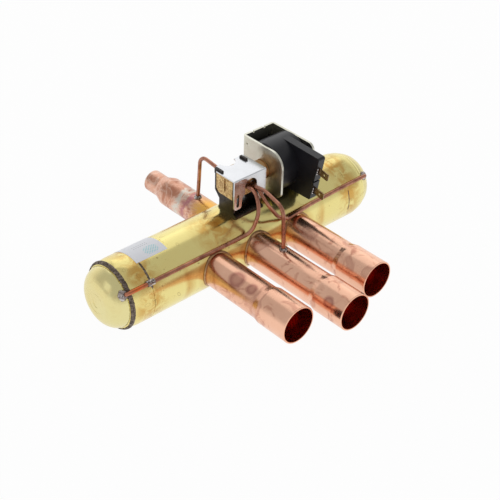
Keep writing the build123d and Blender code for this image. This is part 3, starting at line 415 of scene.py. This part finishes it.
def plain_metal(name, light, dark, scale, roughness, stretch=None, grain=0.00002):
    """Metal whose colour and roughness wander between two values."""
    made, g, shader = new_material(name)
    tone = g.noise(scale, 4, 0.6, 0.4, stretch)
    colour = g.mix(g.ramp(tone, (0.38, 0.0), (0.66, 1.0)), light, dark)
    shine = g.ramp(tone, (0.3, roughness[0]), (0.7, roughness[1]))
    fine = g.noise(scale * 12, 3, 0.6, 0.0, stretch)
    connect(g, shader, colour=colour, roughness=shine, normal=g.bump(fine, grain, 0.6))
    return made


def plain_plastic(name, light, dark, scale, roughness, grain=0.00002, shine_level=0.5):
    """Moulded plastic with a fine surface grain."""
    made, g, shader = new_material(name, metallic=0.0)
    shader.inputs["Specular IOR Level"].default_value = shine_level
    tone = g.noise(scale, 3, 0.5)
    colour = g.mix(g.ramp(tone, (0.35, 0.0), (0.7, 1.0)), light, dark)
    shine = g.ramp(tone, (0.3, roughness[0]), (0.7, roughness[1]))
    connect(g, shader, colour=colour, roughness=shine, normal=g.bump(g.noise(2600, 2), grain, 0.5))
    return made


def label_film():
    """Silvery sticker with a soft blue-green patch and a few faint grey dashes."""
    made, g, shader = new_material("label_film", metallic=0.0)
    x, y, z = g.place()
    turn = g.math("ARCTAN2", g.math("SUBTRACT", z, AXIS.z), g.math("SUBTRACT", AXIS.y, y))
    base = g.mix(g.noise(80, 3), (0.78, 0.79, 0.84), (0.84, 0.85, 0.89))
    u, v = g.math("MULTIPLY", x, 1000.0), g.math("MULTIPLY", turn, BODY_RADIUS * 1000)
    patch = g.math("MULTIPLY", g.near(u, -89.0, 7.0), g.near(v, 41.5, 5.0))
    waves = [g.math("SINE", g.math("MULTIPLY", way, 2.6)) for way in (u, v)]
    weave = g.math("MULTIPLY", *waves)
    patch = g.math("MULTIPLY", g.over(patch, 0.05, 0.1), g.over(weave, 0.0, 0.2))
    colour = g.mix(g.math("MULTIPLY", patch, 0.8), base, (0.25, 0.66, 0.70))
    dash = g.over(g.math("SINE", g.math("MULTIPLY", u, 3.1)), 0.1, 0.2)
    rows = g.math("MAXIMUM", g.near(v, 49.5, 0.5), g.near(v, 52.0, 0.5))
    dash = g.math("MULTIPLY", g.math("MULTIPLY", dash, rows), g.over(g.near(u, -93.0, 7.0), 0.02, 0.05))
    colour = g.mix(g.math("MULTIPLY", dash, 0.8), colour, (0.10, 0.10, 0.11))
    connect(g, shader, colour=colour, roughness=0.34)
    return made


def pilot_brass():
    """Bronze coloured machined face, mottled darker."""
    made, g, shader = new_material("pilot_brass")
    tone = g.noise(420, 5, 0.7, 1.2)
    colour = g.mix(g.ramp(tone, (0.40, 0.0), (0.60, 1.0)), (0.72, 0.52, 0.24), (0.34, 0.19, 0.08))
    roughness = g.ramp(tone, (0.3, 0.28), (0.7, 0.46))
    connect(g, shader, colour=colour, roughness=roughness, normal=g.bump(tone, 0.00008, 0.5))
    return made


def silver_braze():
    """Lumpy silver solder, blackened in places."""
    made, g, shader = new_material("silver_braze")
    tone = g.noise(420, 5, 0.7, 1.0)
    colour = g.ramp(tone, (0.36, (0.04, 0.03, 0.03)), (0.50, (0.36, 0.30, 0.28)), (0.66, (0.74, 0.71, 0.68)))
    roughness = g.ramp(tone, (0.3, 0.5), (0.7, 0.24))
    connect(g, shader, colour=colour, roughness=roughness, normal=g.bump(tone, 0.0002, 0.5))
    return made


def dress():
    """Gives every CAD node the material of its slot."""
    looks = {
        "body_brass": body_brass(),
        "cap_brass": cap_brass(),
        "weld": plain_metal("weld", (0.25, 0.20, 0.165), (0.06, 0.045, 0.035), 600, (0.4, 0.6), None, 0.0001),
        "seat_brass": plain_metal("seat_brass", (0.78, 0.62, 0.30), (0.70, 0.52, 0.24), 120, (0.25, 0.35)),
        "line_copper": copper(
            # The last colour is the bores' painted reflection.
            "line_copper", COPPER, ((0.84, 0.47, 0.32), (0.60, 0.27, 0.17)), (0.85, 0.20, 0.07)
        ),
        "discharge_copper": discharge_copper(),
        "capillary_copper": capillary_copper(),
        "braze": plain_metal("braze", (0.52, 0.32, 0.16), (0.26, 0.13, 0.07), 260, (0.3, 0.5), None, 0.0001),
        "silver_braze": silver_braze(),
        "black_steel": plain_metal(
            "black_steel", (0.070, 0.060, 0.055), (0.030, 0.026, 0.024), 150, (0.20, 0.32)
        ),
        "galvanised": plain_metal("galvanised", (0.69, 0.70, 0.72), (0.66, 0.67, 0.69), 40, (0.18, 0.24)),
        "pilot_brass": pilot_brass(),
        "collar_bronze": plain_metal(
            "collar_bronze", (0.62, 0.38, 0.19), (0.46, 0.25, 0.11), 120, (0.3, 0.4)
        ),
        "stainless": plain_metal("machined_steel", (0.62, 0.62, 0.63), (0.46, 0.46, 0.47), 140, (0.24, 0.36)),
        "frame_zinc": plain_metal("frame_zinc", (0.70, 0.69, 0.60), (0.60, 0.58, 0.48), 50, (0.26, 0.36)),
        "coil_black": plain_plastic(
            "coil_black", (0.009, 0.009, 0.012), (0.014, 0.014, 0.018), 60, (0.30, 0.40), shine_level=0.36
        ),
        "terminal_brass": plain_metal(
            "terminal_brass", (0.42, 0.31, 0.18), (0.24, 0.16, 0.08), 300, (0.28, 0.42)
        ),
        "fastener": plain_metal("fastener", (0.64, 0.64, 0.65), (0.48, 0.48, 0.49), 300, (0.25, 0.4)),
        "slide_nylon": plain_plastic("slide_nylon", (0.80, 0.78, 0.70), (0.74, 0.71, 0.62), 90, (0.4, 0.5)),
        "piston_brass": plain_metal(
            "piston_brass", (0.78, 0.62, 0.30), (0.68, 0.50, 0.22), 160, (0.24, 0.34)
        ),
        "seal_ptfe": plain_plastic("seal_ptfe", (0.86, 0.86, 0.84), (0.80, 0.80, 0.78), 90, (0.4, 0.5)),
        "label_film": label_film(),
    }
    for part in frame["record"]["subparts"]:
        mesh = frame["nodes"][part["node"]].data
        mesh.materials.clear()
        mesh.materials.append(looks[part["material_slot"]])
    for side in ("left", "right"):
        frame["nodes"][f"weld_bead_{side}"].data.materials[0] = looks["body_brass"]
    return looks


# ---- Pieces that replace or join the CAD nodes --------------------------------------------------
def put(form, name, look, *nodes):
    """Turns a bmesh into a piece on the valve body, in place of the named CAD nodes."""
    mesh = bpy.data.meshes.new(name)
    bmesh.ops.recalc_face_normals(form, faces=form.faces)
    form.to_mesh(mesh)
    form.free()
    mesh.shade_smooth()
    mesh.materials.append(looks[look])
    piece = bpy.data.objects.new(name, mesh)
    bpy.context.collection.objects.link(piece)
    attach(piece, "valve")
    if nodes:
        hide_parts(*nodes)
    return piece


def rippled_ring(
    centre_x, sign, low, crown, half_width, spacing, start=0.0, sweep=360.0, seed=0.0, taper=0.0
):
    """Weld metal laid round the body: a ridge with crescent ripples and a wandering edge.

    It rises from low to crown. Its foot falls by taper from the middle to the outer edge.
    """
    form = bmesh.new()
    steps = int(sweep * 2)
    across = 12
    closed = sweep >= 360
    rows = []
    for i in range(steps if closed else steps + 1):
        turn = math.radians(start + sweep * i / steps)
        arc = turn * crown
        wander = noise.noise(Vector((math.cos(turn) * 7, math.sin(turn) * 7, seed)))
        lump = noise.noise(Vector((math.cos(turn) * 31, math.sin(turn) * 31, seed + 5)))
        ends = 1.0 if closed else min(1.0, math.sin(math.pi * i / steps) * 3)
        row = []
        for j in range(across + 1):
            side = j / across * 2 - 1
            ripple = abs(math.sin(math.pi * (arc / spacing + 0.5 * side * side)))
            rise = math.sqrt(max(0.0, 1 - side * side)) * (crown - low) * ends
            radius = low - taper * side + rise * (0.84 + 0.12 * ripple + 0.08 * lump)
            x = centre_x + half_width * side * (1 + 0.16 * wander) * (0.4 + 0.6 * ends) + 0.3 * lump
            row.append(form.verts.new(at(sign * x, -radius * math.cos(turn), radius * math.sin(turn))))
        rows.append(row)
    pairs = list(zip(rows, rows[1:] + rows[:1])) if closed else list(zip(rows, rows[1:]))
    for one, two in pairs:
        for j in range(across):
            form.faces.new((one[j], one[j + 1], two[j + 1], two[j]))
        form.faces.new((one[across], one[0], two[0], two[across]))
    if not closed:
        form.faces.new(rows[0])
        form.faces.new(list(reversed(rows[-1])))
    return form


def weld_rings():
    """The ring weld of the left cap, and the dark seam where each sleeve meets the body."""
    ring = rippled_ring(125.1, -1, 26.7, 28.15, 1.9, 1.1, seed=3.0, taper=0.5)
    put(ring, "weld_ripple_left", "weld")
    seam = rippled_ring(105.4, -1, 27.6, 28.75, 1.1, 1.9, start=22, sweep=52, seed=9.0)
    put(seam, "seam_ripple_left", "weld")
    seam = rippled_ring(105.0, 1, 27.6, 28.5, 0.6, 1.9, start=-18, sweep=46, seed=5.0)
    put(seam, "seam_ripple_right", "weld")


def solder_lumps():
    """Solder at the capillaries' ends: the CAD cones made lumpy and uneven."""
    source = frame["nodes"]["capillary_braze"]
    piece = bpy.data.objects.new("solder_lumps", source.data.copy())
    bpy.context.collection.objects.link(piece)
    remesh = piece.modifiers.new("remesh", "REMESH")
    remesh.mode, remesh.voxel_size = "VOXEL", 0.32 * MM
    graph = bpy.context.evaluated_depsgraph_get()
    form = bmesh.new()
    form.from_object(piece, graph)
    bpy.data.objects.remove(piece)
    for _ in range(3):
        every_way = {"use_axis_x": True, "use_axis_y": True, "use_axis_z": True}
        bmesh.ops.smooth_vert(form, verts=form.verts, factor=0.5, **every_way)
    form.normal_update()
    for vert in form.verts:
        lump = noise.noise(vert.co * 520) + 0.5 * noise.noise(vert.co * 1300)
        swell = 0.75 if vert.co.x < AXIS.x - 120 * MM else 0.30  # the left end has the largest lump
        vert.co += vert.normal * (lump * 0.55 + swell) * MM
    put(form, "solder_lumps", "silver_braze", "capillary_braze")


PILOT_Y, PILOT_Z = 2.0, 50.0  # the coil's axis
FACE_Y, FACE_TOP = -43.1, 20.5  # upper edge of the coil's end face, from the coil's axis
FACE_SLOPE = 7.4 / 41.0  # how far that face falls back for each millimetre down
BLADE_X, BLADE_HEIGHTS = 52.9, (7.6, -11.8)
PIP_PITCH, PIP_RADIUS, PIP_ASIDE = 2.2, 0.75, 2.0


def blade_glint_pips():
    """Rows of small bright metal pips on the coil's end face, beside the root of each blade: painted
    highlights, standing in for the glints on the moulding there.
    """
    form = bmesh.new()
    for height in BLADE_HEIGHTS:
        for step in (-1, 0, 1):
            level = height + PIP_PITCH * step
            face_y = FACE_Y + (FACE_TOP - level) * FACE_SLOPE
            spot = at(BLADE_X - PIP_ASIDE, PILOT_Y + face_y, PILOT_Z + level)
            pip = bmesh.ops.create_icosphere(form, subdivisions=2, radius=PIP_RADIUS * MM)["verts"]
            bmesh.ops.scale(form, vec=(1, 0.7, 1), verts=pip)
            bmesh.ops.translate(form, vec=spot, verts=pip)
    put(form, "blade_glint_pips", "galvanised")


def return_spring():
    """The plunger's spring, as a piece with a mesh of its own; the real one shortens against the fixed core
    as the plunger is pulled, which nothing here does.
    """
    form = bmesh.new()
    form.from_mesh(frame["nodes"]["plunger_spring"].data)
    piece = put(form, "return_spring", "stainless", "plunger_spring")
    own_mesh(piece)


# ---- Making of the scene ------------------------------------------------------------------------
camera()
surroundings()
looks = dress()
weld_rings()
solder_lumps()
blade_glint_pips()
return_spring()
